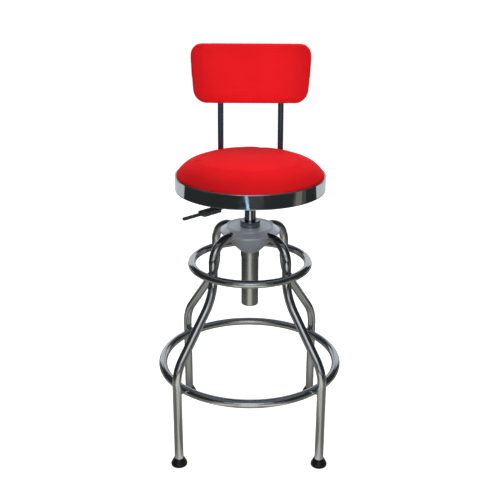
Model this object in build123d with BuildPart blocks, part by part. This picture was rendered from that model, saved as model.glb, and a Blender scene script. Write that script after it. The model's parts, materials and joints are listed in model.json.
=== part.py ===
from build123d import *

import os
from math import cos, radians, sin, sqrt, tan

# Shop stool: four bent legs, two rings, a gas-lift column, a swivel seat and a padded backrest.
# Millimetres, +Z up. The origin is on the floor under the column, and the front faces -Y.

# Clearances
fit_gap = 0.1            # fixed pieces that sit in or on one another
running_gap = 0.05       # a shaft turning or sliding in its bore
weld_gap = 0.2           # welded tubes that lie side by side
loose_gap = 0.3          # moving pieces that pass without touching

# Legs
leg_diameter = 22.0
leg_wall = 1.5
leg_angles = {"front_left": 225, "front_right": 315, "rear_right": 45, "rear_left": 135}
leg_shoulder_radius = 124.0      # column axis to the upper upright stretch
leg_foot_radius = 246.0          # column axis to the lower upright stretch
leg_shoulder_height = 557.0      # axis of the level stretch at the hub
leg_upper_straight = 36.0        # upright stretch that carries the upper ring
leg_splay_angle = 37.0
leg_shoulder_bend = 53.0
leg_knee_bend = 140.0
leg_ankle_bend = 100.0

# Rings
ring_wall = 1.5
upper_ring_diameter = 19.0
upper_ring_rise = 7.0            # above the lower end of the upper upright stretch
foot_ring_diameter = 21.0
foot_ring_drop = 21.8            # below the ankle bend

# Feet
foot_diameter = 40.0
foot_base_thickness = 6.0
foot_height = 18.0
foot_collar_wall = 2.5
foot_edge_radius = 2.0

# Hub
hub_sleeve_wall = 1.5
hub_sleeve_drop = 65.0           # below the axis of the level leg stretch
hub_cap_thickness = 2.5
hub_lip_radius = 57.0
hub_lip_rise = 4.4
hub_lip_inner_width = 4.5        # from the crest of the lip in to the dish
hub_lip_outer_width = 2.6        # from the crest of the lip out to the shoulder
hub_lip_fall = 1.2               # foot of the lip's outer side, below the dish
hub_lip_inset = 1.0              # underside of the lip's outer side, inside its upper side
hub_crest_radius = 2.6
hub_rim_radius = 73.0
hub_shoulder_drop = 9.5
hub_skirt = 5.0
hub_edge_radius = 0.8
bell_wall = 1.5
bell_drop = 49.0                 # below the axis of the level leg stretch
bell_flare_reach = 0.40          # where the flare's mid point lies, as shares of its width and height
bell_flare_rise = 0.36

# Outer column
base_tube_diameter = 43.0
base_tube_wall = 2.0
base_tube_length = 218.0
base_tube_rise = 9.2             # above the hub cap
base_tube_lip = 3.0
base_tube_lip_radius = 15.0
base_tube_edge_radius = 3.5
collar_diameter = 50.0
collar_roof = 2.5
collar_edge_radius = 1.2
bush_length = 80.0
bush_flange = 3.0

# Swivel bearing and piston rod
floor_thickness = 4.0
stud_diameter = 8.0
stud_inset = 0.3                 # stud end above the rim of the base tube
clip_diameter = 14.0
clip_thickness = 1.4
clip_groove = 1.0
washer_diameter = 34.0
washer_thickness = 2.5
ball_diameter = 4.8
ball_count = 12
ball_circle_radius = 12.5
cage_thickness = 2.0
cage_width = 8.0
rod_diameter = 10.0
bump_stop_diameter = 23.0
bump_stop_height = 5.7

# Gas cylinder
cylinder_diameter = 28.0
cylinder_wall = 2.0
cylinder_lip = 2.0
cylinder_lip_radius = 9.5
rod_guide_height = 18.0
rod_seal_height = 4.0
lift_stroke = 120.0
stroke_margin = 7.0
piston_height = 12.0
piston_ring_height = 3.0
piston_ring_depth = 1.5
rivet_diameter = 9.0
rivet_height = 2.5
rivet_stem_diameter = 7.0
gas_headroom = 72.0
valve_height = 22.0
cylinder_roof = 6.0
cylinder_mouth_diameter = 14.0
taper_length = 36.0
taper_drop = 0.9                 # radius lost along the taper
pin_diameter = 6.0
pin_protrusion = 5.2
pin_head_diameter = 9.0
pin_head_height = 2.0

# Seat plate, socket and lever
socket_diameter = 38.0
socket_grip = 30.0
plate_side = 130.0
plate_thickness = 3.0
plate_corner_radius = 12.0
plate_screw_spacing = 104.0
lever_angle = 225.0              # points to the front left
lever_pivot_radius = 27.0
lever_rod_diameter = 7.0
lever_toe = 7.0                  # rod past the column axis
lever_level_reach = 58.0         # level stretch of the rod under the plate
lever_slope_reach = 34.0
lever_drop = 21.0
lever_bend = 12.0
lever_boss_diameter = 11.0
lever_boss_width = 12.4
pivot_pin_diameter = 5.0
pivot_head_diameter = 8.0
pivot_head_height = 1.5
bracket_sheet = 2.0
bracket_length = 13.4
bracket_headroom = 1.2
slot_width = 14.0
handle_start = 104.0
paddle_length = 56.0
paddle_width = 26.0
paddle_thickness = 10.0
paddle_corner_radius = 6.0
paddle_edge_radius = 2.0
tongue_length = 54.0
tongue_width = 10.0
tongue_thickness = 6.0
tongue_edge_radius = 1.8
handle_grip = 36.0               # rod length held in the paddle

# Seat
band_radius = 181.0
band_height = 35.0
band_sheet = 1.5
band_top_lip = 3.5
band_bottom_lip = 11.0
band_edge_radius = 1.2
board_thickness = 15.0
pad_crown = 41.5                 # above the band
crown_radius_share = 0.706       # where the flat crown turns down to the edge
crown_sag = 4.3

# Fasteners
plate_screw_diameter = 5.0
plate_screw_head = 10.0
plate_screw_head_height = 3.0
plate_screw_depth = 12.0
bolt_diameter = 6.0
bolt_head = 11.0
bolt_head_height = 4.0
back_screw_diameter = 5.0
back_screw_head = 9.0
back_screw_head_height = 3.0
nut_flange_diameter = 16.0
nut_flange = 1.5
nut_wall = 1.1
nut_length = 9.0

# Uprights
upright_diameter = 15.0
upright_wall = 1.5
upright_offset = 78.0            # half the distance between the two tubes
upright_front = 55.0             # front end under the seat
upright_standoff = 29.7          # tube axis corner behind the seat band
upright_bend = 30.0
upright_lean = 5.0
upright_rise = 92.8
upright_back_bend = 200.0
upright_back_lean = 8.0
upright_back_length = 212.0
upright_bolt_rows = (85.0, 135.0)
spacer_thickness = 2.0
spacer_side = 16.0
spacer_wrap = 3.2                # how far the saddle reaches down the tube
plug_head = 2.0
plug_length = 10.0

# Backrest
backrest_top_width = 309.5
backrest_bottom_width = 287.0
backrest_height = 148.0
backrest_top_corner = 30.0
backrest_bottom_corner = 35.0
backrest_centre = 156.0          # along the upper tube from its lower bend
backrest_screw_spacing = 80.0
backrest_tube_gap = 0.15
cover_thickness = 2.5
cover_inset = 3.0
cover_edge_radius = 1.0
back_board_thickness = 12.0
back_board_inset = 5.0
back_pad_thickness = 22.5
back_pad_pull = 3.0              # how far the sides draw in at the board

# Radii worked out from the diameters
leg_radius = leg_diameter / 2
base_tube_radius = base_tube_diameter / 2
base_bore_radius = base_tube_radius - base_tube_wall
cylinder_radius = cylinder_diameter / 2
cylinder_bore_radius = cylinder_radius - cylinder_wall
rod_radius = rod_diameter / 2
stud_radius = stud_diameter / 2
pin_radius = pin_diameter / 2
upright_radius = upright_diameter / 2

# Heights of the stand, worked down from the hub
leg_straight_top = leg_shoulder_height - leg_shoulder_bend
leg_straight_bottom = leg_straight_top - leg_upper_straight
half_splay = radians(leg_splay_angle / 2)
leg_knee_corner = leg_straight_bottom - leg_knee_bend * tan(half_splay)
leg_slope_drop = (leg_foot_radius - leg_shoulder_radius) / tan(radians(leg_splay_angle))
leg_ankle_corner = leg_knee_corner - leg_slope_drop
leg_ankle_end = leg_ankle_corner - leg_ankle_bend * tan(half_splay)
leg_end = foot_base_thickness + fit_gap
upper_ring_height = leg_straight_bottom + upper_ring_rise
upper_ring_radius = leg_shoulder_radius + leg_radius + upper_ring_diameter / 2 + weld_gap
foot_ring_height = leg_ankle_end - foot_ring_drop
foot_ring_radius = leg_foot_radius - leg_radius - foot_ring_diameter / 2 - weld_gap

# Heights of the hub and the outer column
sleeve_bore_radius = base_tube_radius + fit_gap
sleeve_radius = sleeve_bore_radius + hub_sleeve_wall
cap_underside = leg_shoulder_height + leg_radius + loose_gap
cap_top = cap_underside + hub_cap_thickness
base_tube_top = cap_top + base_tube_rise
base_tube_bottom = base_tube_top - base_tube_length
bush_top = base_tube_top + bush_flange
collar_top = bush_top + loose_gap + collar_roof

# Heights of the gas lift, worked up from the base tube's lower end
floor_bottom = base_tube_bottom + base_tube_lip
floor_top = floor_bottom + floor_thickness
clip_top = floor_bottom - fit_gap
clip_bottom = clip_top - clip_thickness
ball_track = floor_top + washer_thickness
ball_space = ball_diameter + 2 * fit_gap
upper_washer_bottom = ball_track + ball_space
rod_shoulder = upper_washer_bottom + washer_thickness
bump_stop_top = rod_shoulder + bump_stop_height
cylinder_bottom = bump_stop_top + loose_gap
guide_bottom = cylinder_bottom + cylinder_lip
seal_bottom = guide_bottom + rod_guide_height
seal_top = seal_bottom + rod_seal_height
piston_bottom = seal_top + lift_stroke + stroke_margin
piston_top = piston_bottom + piston_height
valve_bottom = piston_top + gas_headroom
valve_top = valve_bottom + valve_height
cylinder_top = valve_top + cylinder_roof
taper_bottom = cylinder_top - taper_length
pin_top = cylinder_top + pin_protrusion

# Heights of the seat, worked up from the cylinder
lever_height = pin_top + loose_gap + lever_rod_diameter / 2
plate_underside = lever_height + lever_boss_diameter / 2 + bracket_headroom + bracket_sheet
board_underside = plate_underside + plate_thickness
board_top = board_underside + board_thickness
band_bottom = board_underside - weld_gap - band_sheet
band_top = band_bottom + band_height
upright_height = board_underside - spacer_thickness - upright_radius
handle_height = lever_height - lever_drop


def save(piece, name):
    """Label a finished piece and write it to its own file."""
    piece.part.label = name
    export_step(piece.part, f"parts/{name}.step")


def direction(angle):
    """Level unit vector at an angle from +X."""
    return Vector(cos(radians(angle)), sin(radians(angle)), 0)


def radial_plane(angle):
    """Upright plane through the column axis: local x runs outwards and local y runs up."""
    outwards = direction(angle)
    return Plane(origin=(0, 0, 0), x_dir=outwards, z_dir=outwards.cross(Vector(0, 0, 1)))


def make_tube(outer_radius, inner_radius, bottom, top):
    """Plain round ring or tube on the column axis."""
    with BuildPart() as piece:
        with BuildSketch(Plane.XY.offset(bottom)):
            Circle(outer_radius)
            Circle(inner_radius, mode=Mode.SUBTRACT)
        extrude(amount=top - bottom)
    return piece


def make_turned(profile):
    """Piece turned about the column axis from (radius, height) points."""
    with BuildPart() as piece:
        with BuildSketch(Plane.XZ):
            with BuildLine():
                Polyline(*profile, close=True)
            make_face()
        revolve(axis=Axis.Z)
    return piece


def make_ring(tube_diameter, radius, height):
    """Closed ring of bent tube round the column axis."""
    with BuildPart() as piece:
        with BuildSketch(Plane.XZ):
            with Locations((radius, height)):
                Circle(tube_diameter / 2)
                Circle(tube_diameter / 2 - ring_wall, mode=Mode.SUBTRACT)
        revolve(axis=Axis.Z)
    return piece


os.makedirs("parts", exist_ok=True)


# Legs, each in its own upright plane and coped to the hub sleeve
def make_leg(angle):
    with BuildPart() as piece:
        with BuildLine(radial_plane(angle)):
            route = FilletPolyline(
                (sleeve_radius - leg_radius / 2, leg_shoulder_height),
                (leg_shoulder_radius, leg_shoulder_height),
                (leg_shoulder_radius, leg_knee_corner),
                (leg_foot_radius, leg_ankle_corner),
                (leg_foot_radius, leg_end),
                radius=(leg_shoulder_bend, leg_knee_bend, leg_ankle_bend),
            )
        with BuildSketch(Plane(origin=route @ 0, z_dir=route % 0)):
            Circle(leg_radius)
            Circle(leg_radius - leg_wall, mode=Mode.SUBTRACT)
        sweep()
        with Locations((0, 0, leg_shoulder_height)):
            Cylinder(sleeve_radius + fit_gap, 2 * leg_diameter, mode=Mode.SUBTRACT)
    return piece


# Flared feet that cup the ends of the legs
def make_foot(angle):
    centre = direction(angle) * leg_foot_radius
    cup_radius = leg_radius + fit_gap
    with BuildPart() as piece:
        with BuildSketch(Plane(origin=centre, x_dir=(1, 0, 0), z_dir=(0, -1, 0))):
            with BuildLine():
                Polyline(
                    (0, 0),
                    (foot_diameter / 2, 0),
                    (foot_diameter / 2, foot_base_thickness),
                    (cup_radius + foot_collar_wall, foot_height),
                    (cup_radius, foot_height),
                    (cup_radius, foot_base_thickness),
                    (0, foot_base_thickness),
                    close=True,
                )
            make_face()
            fillet(vertices().group_by(Axis.X)[-1], radius=foot_edge_radius)
        revolve(axis=Axis(centre, (0, 0, 1)))
    return piece


for place, angle in leg_angles.items():
    save(make_leg(angle), f"leg_{place}")
    save(make_foot(angle), f"foot_{place}")

# Rings: the upper one outside the legs, the foot ring inside them
save(make_ring(upper_ring_diameter, upper_ring_radius, upper_ring_height), "upper_ring")
save(make_ring(foot_ring_diameter, foot_ring_radius, foot_ring_height), "foot_ring")

# Hub: a sleeve that the legs are welded to, between a flared bell and a dished cap
sleeve_bottom = leg_shoulder_height - hub_sleeve_drop
save(make_tube(sleeve_radius, sleeve_bore_radius, sleeve_bottom, cap_underside - fit_gap), "hub_sleeve")

leg_openings = [Plane(origin=(0, 0, leg_shoulder_height), z_dir=direction(a)) for a in leg_angles.values()]
leg_opening_radius = leg_radius + 0.8 * loose_gap


lip_foot_radius = hub_lip_radius + hub_lip_outer_width
lip_dish_radius = hub_lip_radius - hub_lip_inner_width


def cap_shoulder(radius):
    """Height of the cap's upper side between its lip and its rim."""
    share = (radius - lip_foot_radius) / (hub_rim_radius - lip_foot_radius)
    return cap_top - hub_lip_fall - share * (hub_shoulder_drop - hub_lip_fall)


skirt_bottom = cap_top - hub_shoulder_drop - hub_skirt
skirt_bore_radius = hub_rim_radius - hub_cap_thickness
cap_hole_radius = base_tube_radius + fit_gap
with BuildPart() as hub_cap:
    with BuildSketch(Plane.XZ):
        with BuildLine():
            Polyline(
                (cap_hole_radius, cap_top),
                (lip_dish_radius, cap_top),
                (hub_lip_radius, cap_top + hub_lip_rise),
                (lip_foot_radius, cap_top - hub_lip_fall),
                (hub_rim_radius, cap_top - hub_shoulder_drop),
                (hub_rim_radius, skirt_bottom),
                (skirt_bore_radius, skirt_bottom),
                (skirt_bore_radius, cap_shoulder(skirt_bore_radius) - hub_cap_thickness),
                (lip_foot_radius - hub_lip_inset, cap_underside - hub_lip_fall),
                (hub_lip_radius - hub_lip_inset, cap_underside + hub_lip_rise),
                (lip_dish_radius, cap_underside),
                (cap_hole_radius, cap_underside),
                close=True,
            )
        make_face()
        fillet(vertices().sort_by(Axis.Y)[:-1], radius=hub_edge_radius)
        fillet(vertices().sort_by(Axis.Y)[-1], radius=hub_crest_radius)
    revolve(axis=Axis.Z)
    with Locations(*leg_openings):
        Cylinder(
            leg_opening_radius,
            hub_rim_radius + leg_radius,
            align=(Align.CENTER, Align.CENTER, Align.MIN),
            mode=Mode.SUBTRACT,
        )
save(hub_cap, "hub_cap")

bell_rim_radius = skirt_bore_radius - loose_gap
bell_low = Vector(sleeve_radius + fit_gap + bell_wall, leg_shoulder_height - bell_drop)
bell_high = Vector(bell_rim_radius, cap_shoulder(bell_rim_radius) - hub_cap_thickness - 2 * bell_wall)
bell_span = bell_high - bell_low
bell_mid = bell_low + Vector(bell_flare_reach * bell_span.X, bell_flare_rise * bell_span.Y)
with BuildPart() as hub_bell:
    with BuildSketch(Plane.XZ):
        with BuildLine():
            flare = ThreePointArc(bell_low, bell_mid, bell_high)
            inner = [(flare @ t) + (flare % t).rotate(Axis.Z, 90) * bell_wall for t in (0, 0.5, 1)]
            inner[0] = Vector(sleeve_radius + fit_gap, inner[0].Y)
            ThreePointArc(*inner)
            Line(flare @ 0, inner[0])
            Line(flare @ 1, inner[2])
        make_face()
    revolve(axis=Axis.Z)
    with Locations(*leg_openings):
        Cylinder(
            leg_opening_radius,
            hub_rim_radius + leg_radius,
            align=(Align.CENTER, Align.CENTER, Align.MIN),
            mode=Mode.SUBTRACT,
        )
save(hub_bell, "hub_bell")

# Outer column: a base tube with a rolled-in lower end, its collar and its guide bush
with BuildPart() as base_tube:
    with BuildSketch(Plane.XZ):
        with BuildLine():
            Polyline(
                (base_tube_lip_radius, base_tube_bottom),
                (base_tube_radius, base_tube_bottom),
                (base_tube_radius, base_tube_top),
                (base_bore_radius, base_tube_top),
                (base_bore_radius, floor_bottom),
                (base_tube_lip_radius, floor_bottom),
                close=True,
            )
        make_face()
        fillet(vertices().group_by(Axis.Y)[0].sort_by(Axis.X)[-1], radius=base_tube_edge_radius)
    revolve(axis=Axis.Z)
save(base_tube, "base_tube")

collar_bore_radius = base_tube_radius + fit_gap
collar_mouth_radius = cylinder_radius + 2 * loose_gap
with BuildPart() as column_collar:
    with BuildSketch(Plane.XZ):
        with BuildLine():
            Polyline(
                (collar_bore_radius, cap_top),
                (collar_diameter / 2, cap_top),
                (collar_diameter / 2, collar_top),
                (collar_mouth_radius, collar_top),
                (collar_mouth_radius, collar_top - collar_roof),
                (collar_bore_radius, collar_top - collar_roof),
                close=True,
            )
        make_face()
        fillet(vertices().group_by(Axis.Y)[-1], radius=collar_edge_radius)
    revolve(axis=Axis.Z)
save(column_collar, "column_collar")

bush_radius = base_bore_radius - fit_gap
bush_bore_radius = cylinder_radius + running_gap
guide_bush = make_turned(
    [
        (bush_bore_radius, base_tube_top - bush_length),
        (bush_radius, base_tube_top - bush_length),
        (bush_radius, base_tube_top),
        (base_tube_radius - fit_gap, base_tube_top),
        (base_tube_radius - fit_gap, bush_top),
        (bush_bore_radius, bush_top),
    ]
)
save(guide_bush, "guide_bush")

# Swivel bearing in the foot of the column
stud_bore_radius = stud_radius + fit_gap
washer_radius = washer_diameter / 2
save(make_tube(base_bore_radius - fit_gap, stud_bore_radius, floor_bottom, floor_top), "base_tube_floor")
save(make_tube(washer_radius, stud_radius + loose_gap, floor_top, ball_track), "lower_thrust_washer")
save(make_tube(washer_radius, stud_bore_radius, upper_washer_bottom, rod_shoulder), "upper_thrust_washer")

ball_height = ball_track + ball_space / 2
with BuildPart() as bearing_balls:
    with Locations((0, 0, ball_height)):
        with PolarLocations(ball_circle_radius, ball_count):
            Sphere(ball_diameter / 2)
save(bearing_balls, "bearing_balls")

with BuildPart() as bearing_cage:
    with BuildSketch(Plane.XY.offset(ball_height - cage_thickness / 2)):
        Circle(ball_circle_radius + cage_width / 2)
        Circle(ball_circle_radius - cage_width / 2, mode=Mode.SUBTRACT)
        with PolarLocations(ball_circle_radius, ball_count):
            Circle(ball_diameter / 2 + fit_gap, mode=Mode.SUBTRACT)
    extrude(amount=cage_thickness)
save(bearing_cage, "bearing_cage")

# Piston rod, standing on the bearing and clipped under the floor disc
groove_radius = stud_radius - clip_groove
stem_radius = rivet_stem_diameter / 2
stud_end = base_tube_bottom + stud_inset
piston_rod = make_turned(
    [
        (0, stud_end),
        (stud_radius, stud_end),
        (stud_radius, clip_bottom - fit_gap),
        (groove_radius, clip_bottom - fit_gap),
        (groove_radius, clip_top + fit_gap / 2),
        (stud_radius, clip_top + fit_gap / 2),
        (stud_radius, rod_shoulder),
        (rod_radius, rod_shoulder),
        (rod_radius, piston_bottom),
        (stem_radius, piston_bottom),
        (stem_radius, piston_top),
        (rivet_diameter / 2, piston_top),
        (rivet_diameter / 2, piston_top + rivet_height),
        (0, piston_top + rivet_height),
    ]
)
save(piston_rod, "piston_rod")
save(make_tube(clip_diameter / 2, groove_radius + fit_gap, clip_bottom, clip_top), "rod_clip")
save(make_tube(bump_stop_diameter / 2, rod_radius + fit_gap, rod_shoulder, bump_stop_top), "bump_stop")

piston_radius = cylinder_bore_radius - fit_gap
ring_bottom = (piston_bottom + piston_top - piston_ring_height) / 2
ring_top = ring_bottom + piston_ring_height
ring_seat_radius = piston_radius - piston_ring_depth
piston = make_turned(
    [
        (stem_radius + running_gap, piston_bottom),
        (piston_radius, piston_bottom),
        (piston_radius, ring_bottom),
        (ring_seat_radius, ring_bottom),
        (ring_seat_radius, ring_top),
        (piston_radius, ring_top),
        (piston_radius, piston_top),
        (stem_radius + running_gap, piston_top),
    ]
)
save(piston, "piston")
ring_outer_radius = cylinder_bore_radius - running_gap
save(
    make_tube(ring_outer_radius, ring_seat_radius + running_gap, ring_bottom + fit_gap, ring_top - fit_gap),
    "piston_ring",
)

# Gas cylinder, which carries the seat, with its guide, seal, valve and release pin
cylinder_tip_radius = cylinder_radius - taper_drop
pressure_cylinder = make_turned(
    [
        (cylinder_lip_radius, cylinder_bottom),
        (cylinder_radius, cylinder_bottom),
        (cylinder_radius, taper_bottom),
        (cylinder_tip_radius, cylinder_top),
        (cylinder_mouth_diameter / 2, cylinder_top),
        (cylinder_mouth_diameter / 2, valve_top),
        (cylinder_bore_radius, valve_top),
        (cylinder_bore_radius, guide_bottom),
        (cylinder_lip_radius, guide_bottom),
    ]
)
save(pressure_cylinder, "pressure_cylinder")
fitted_radius = cylinder_bore_radius - running_gap
rod_bore_radius = rod_radius + running_gap
save(make_tube(fitted_radius, rod_bore_radius, guide_bottom, seal_bottom), "rod_guide")
save(make_tube(fitted_radius, rod_bore_radius, seal_bottom, seal_top), "rod_seal")
save(make_tube(fitted_radius, pin_radius + running_gap, valve_bottom, valve_top), "valve_body")

pin_head_top = valve_bottom - fit_gap
with BuildPart() as release_pin:
    with BuildSketch(Plane.XZ):
        with BuildLine():
            Polyline(
                (0, pin_head_top - pin_head_height),
                (pin_head_diameter / 2, pin_head_top - pin_head_height),
                (pin_head_diameter / 2, pin_head_top),
                (pin_radius, pin_head_top),
                (pin_radius, pin_top),
                (0, pin_top),
                close=True,
            )
        make_face()
        fillet(vertices().group_by(Axis.Y)[-1].sort_by(Axis.X)[-1], radius=pin_radius / 2)
    revolve(axis=Axis.Z)
save(release_pin, "release_pin")

# Tapered socket under the seat plate, slotted for the lever
lever_line = direction(lever_angle)
lever_across = Vector(0, 0, 1).cross(lever_line)
socket_bottom = cylinder_top - socket_grip
socket_mouth_radius = cylinder_radius - taper_drop * (socket_bottom - taper_bottom) / taper_length
socket_radius = socket_diameter / 2
slot_bottom = cylinder_top + fit_gap
with BuildPart() as seat_socket:
    with BuildSketch(Plane.XZ):
        with BuildLine():
            Polyline(
                (socket_mouth_radius + running_gap, socket_bottom),
                (socket_radius, socket_bottom),
                (socket_radius, plate_underside),
                (cylinder_tip_radius + running_gap, plate_underside),
                (cylinder_tip_radius + running_gap, cylinder_top),
                close=True,
            )
        make_face()
    revolve(axis=Axis.Z)
    with BuildSketch(Plane(origin=(0, 0, slot_bottom), x_dir=lever_line, z_dir=(0, 0, 1))):
        with Locations((socket_diameter / 2, 0)):
            Rectangle(socket_diameter, slot_width)
    extrude(amount=plate_underside - slot_bottom, mode=Mode.SUBTRACT)
save(seat_socket, "seat_socket")

screw_radius = plate_screw_diameter / 2
with BuildPart() as seat_plate:
    with BuildSketch(Plane.XY.offset(plate_underside)):
        RectangleRounded(plate_side, plate_side, plate_corner_radius)
        with GridLocations(plate_screw_spacing, plate_screw_spacing, 2, 2):
            Circle(screw_radius + fit_gap, mode=Mode.SUBTRACT)
    extrude(amount=plate_thickness)
save(seat_plate, "seat_plate")

with BuildPart() as seat_plate_screws:
    with Locations((0, 0, plate_underside)):
        with GridLocations(plate_screw_spacing, plate_screw_spacing, 2, 2):
            Cylinder(
                plate_screw_head / 2,
                plate_screw_head_height,
                align=(Align.CENTER, Align.CENTER, Align.MAX),
            )
            Cylinder(
                screw_radius,
                plate_thickness + plate_screw_depth,
                align=(Align.CENTER, Align.CENTER, Align.MIN),
            )
save(seat_plate_screws, "seat_plate_screws")

# Height lever: bracket, pivot pin, bent rod and handle
pivot = lever_line * lever_pivot_radius + Vector(0, 0, lever_height)
pivot_plane = Plane(origin=pivot, x_dir=lever_line, z_dir=lever_across)
pivot_bore_radius = pivot_pin_diameter / 2 + running_gap
ear_inside = lever_boss_width / 2 + loose_gap
ear_outside = ear_inside + bracket_sheet
ear_bottom = lever_height - lever_boss_diameter / 2
bracket_start = lever_line * (lever_pivot_radius - bracket_length / 2)
with BuildPart() as lever_bracket:
    with BuildSketch(Plane(origin=bracket_start, x_dir=lever_across, z_dir=lever_line)):
        with BuildLine():
            Polyline(
                (-ear_outside, ear_bottom),
                (-ear_outside, plate_underside),
                (ear_outside, plate_underside),
                (ear_outside, ear_bottom),
                (ear_inside, ear_bottom),
                (ear_inside, plate_underside - bracket_sheet),
                (-ear_inside, plate_underside - bracket_sheet),
                (-ear_inside, ear_bottom),
                close=True,
            )
        make_face()
    extrude(amount=bracket_length)
    with Locations(pivot_plane):
        Cylinder(pivot_bore_radius, 3 * ear_outside, mode=Mode.SUBTRACT)
save(lever_bracket, "lever_bracket")

with BuildPart() as lever_pivot_pin:
    with Locations(pivot_plane):
        Cylinder(pivot_pin_diameter / 2, 2 * ear_outside + 2 * fit_gap)
    for side in (1, -1):
        with Locations(pivot_plane.offset(side * (ear_outside + fit_gap + pivot_head_height / 2))):
            Cylinder(pivot_head_diameter / 2, pivot_head_height)
save(lever_pivot_pin, "lever_pivot_pin")

slope_end = lever_level_reach + lever_slope_reach
with BuildPart() as lever_rod:
    with BuildLine(radial_plane(lever_angle)):
        lever_route = FilletPolyline(
            (-lever_toe, lever_height),
            (lever_level_reach, lever_height),
            (slope_end, handle_height),
            (handle_start + handle_grip, handle_height),
            radius=lever_bend,
        )
    with BuildSketch(Plane(origin=lever_route @ 0, z_dir=lever_route % 0)):
        Circle(lever_rod_diameter / 2)
    sweep()
    with Locations(pivot_plane):
        Cylinder(lever_boss_diameter / 2, lever_boss_width)
        Cylinder(pivot_bore_radius, 2 * lever_boss_width, mode=Mode.SUBTRACT)
save(lever_rod, "lever_rod")

handle_base = Plane(origin=(0, 0, handle_height), x_dir=lever_line, z_dir=(0, 0, 1))
paddle_end = handle_start + paddle_length
tongue_start = paddle_end - paddle_corner_radius
with BuildPart() as paddle:
    with BuildSketch(handle_base.offset(-paddle_thickness / 2)):
        with Locations(((handle_start + paddle_end) / 2, 0)):
            RectangleRounded(paddle_length, paddle_width, paddle_corner_radius)
    extrude(amount=paddle_thickness)
    fillet(edges().group_by(Axis.Z)[0] + edges().group_by(Axis.Z)[-1], radius=paddle_edge_radius)
with BuildPart() as tongue:
    with BuildSketch(handle_base.offset(-tongue_thickness / 2)):
        with Locations(((tongue_start + paddle_end + tongue_length) / 2, 0)):
            SlotOverall(paddle_end + tongue_length - tongue_start, tongue_width)
    extrude(amount=tongue_thickness)
    fillet(edges().group_by(Axis.Z)[0] + edges().group_by(Axis.Z)[-1], radius=tongue_edge_radius)
with BuildPart() as lever_handle:
    add(paddle.part)
    add(tongue.part)
    with Locations(Plane(origin=lever_line * handle_start + Vector(0, 0, handle_height), z_dir=lever_line)):
        Cylinder(
            lever_rod_diameter / 2 + running_gap,
            handle_grip + fit_gap,
            align=(Align.CENTER, Align.CENTER, Align.MIN),
            mode=Mode.SUBTRACT,
        )
save(lever_handle, "lever_handle")

# Seat: plywood board, crowned pad and chromed band
band_bore_radius = band_radius - band_sheet
pad_radius = band_radius - band_top_lip - loose_gap
with BuildPart() as seat_band:
    with BuildSketch(Plane.XZ):
        with BuildLine():
            Polyline(
                (band_radius - band_bottom_lip, band_bottom),
                (band_radius, band_bottom),
                (band_radius, band_top),
                (band_radius - band_top_lip, band_top),
                (band_radius - band_top_lip, band_top - band_sheet),
                (band_bore_radius, band_top - band_sheet),
                (band_bore_radius, band_bottom + band_sheet),
                (band_radius - band_bottom_lip, band_bottom + band_sheet),
                close=True,
            )
        make_face()
        fillet(vertices().group_by(Axis.X)[-1], radius=band_edge_radius)
    revolve(axis=Axis.Z)
save(seat_band, "seat_band")

bolt_places = [(side * upright_offset, row) for side in (-1, 1) for row in upright_bolt_rows]
bolt_radius = bolt_diameter / 2
bolt_nut_radius = bolt_radius + fit_gap + nut_wall
with BuildPart() as seat_board:
    with BuildSketch(Plane.XY.offset(board_underside)):
        Circle(band_bore_radius - loose_gap)
        with Locations(*bolt_places):
            Circle(bolt_nut_radius + fit_gap, mode=Mode.SUBTRACT)
    extrude(amount=board_thickness)
    with BuildSketch(Plane.XY.offset(board_top)):
        with Locations(*bolt_places):
            Circle(nut_flange_diameter / 2 + fit_gap)
    extrude(amount=-nut_flange, mode=Mode.SUBTRACT)
    with BuildSketch(Plane.XY.offset(board_underside)):
        with GridLocations(plate_screw_spacing, plate_screw_spacing, 2, 2):
            Circle(screw_radius + fit_gap)
    extrude(amount=plate_screw_depth + fit_gap, mode=Mode.SUBTRACT)
save(seat_board, "seat_board")

crown_edge = crown_radius_share * pad_radius
pad_top = band_top + pad_crown
with BuildPart() as seat_pad:
    with BuildSketch(Plane.XZ):
        with BuildLine():
            crown = ThreePointArc(
                (0, pad_top),
                (crown_edge / 2, pad_top - crown_sag / 4),
                (crown_edge, pad_top - crown_sag),
            )
            TangentArc(crown @ 1, (pad_radius, band_top), tangent=crown % 1)
            Polyline((pad_radius, band_top), (pad_radius, board_top), (0, board_top), (0, pad_top))
        make_face()
    revolve(axis=Axis.Z)
save(seat_pad, "seat_pad")

# Uprights: level under the seat, then up behind it with a slight backward lean
corner_back = sqrt(band_radius**2 - upright_offset**2) + upright_standoff
knee_back = corner_back + upright_rise * tan(radians(upright_lean))
knee_height = upright_height + upright_rise
back_lean = radians(upright_back_lean)
back_along = Vector(0, sin(back_lean), cos(back_lean))
back_facing = Vector(0, -cos(back_lean), sin(back_lean))
back_knee = Vector(0, knee_back, knee_height)
back_end = back_knee + back_along * upright_back_length
back_centre = back_knee + back_along * backrest_centre + back_facing * (upright_radius + backrest_tube_gap)
backrest_plane = Plane(origin=back_centre, x_dir=(1, 0, 0), z_dir=back_facing)
back_screw_radius = back_screw_diameter / 2
tube_rear = -upright_diameter - 2 * backrest_tube_gap


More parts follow.
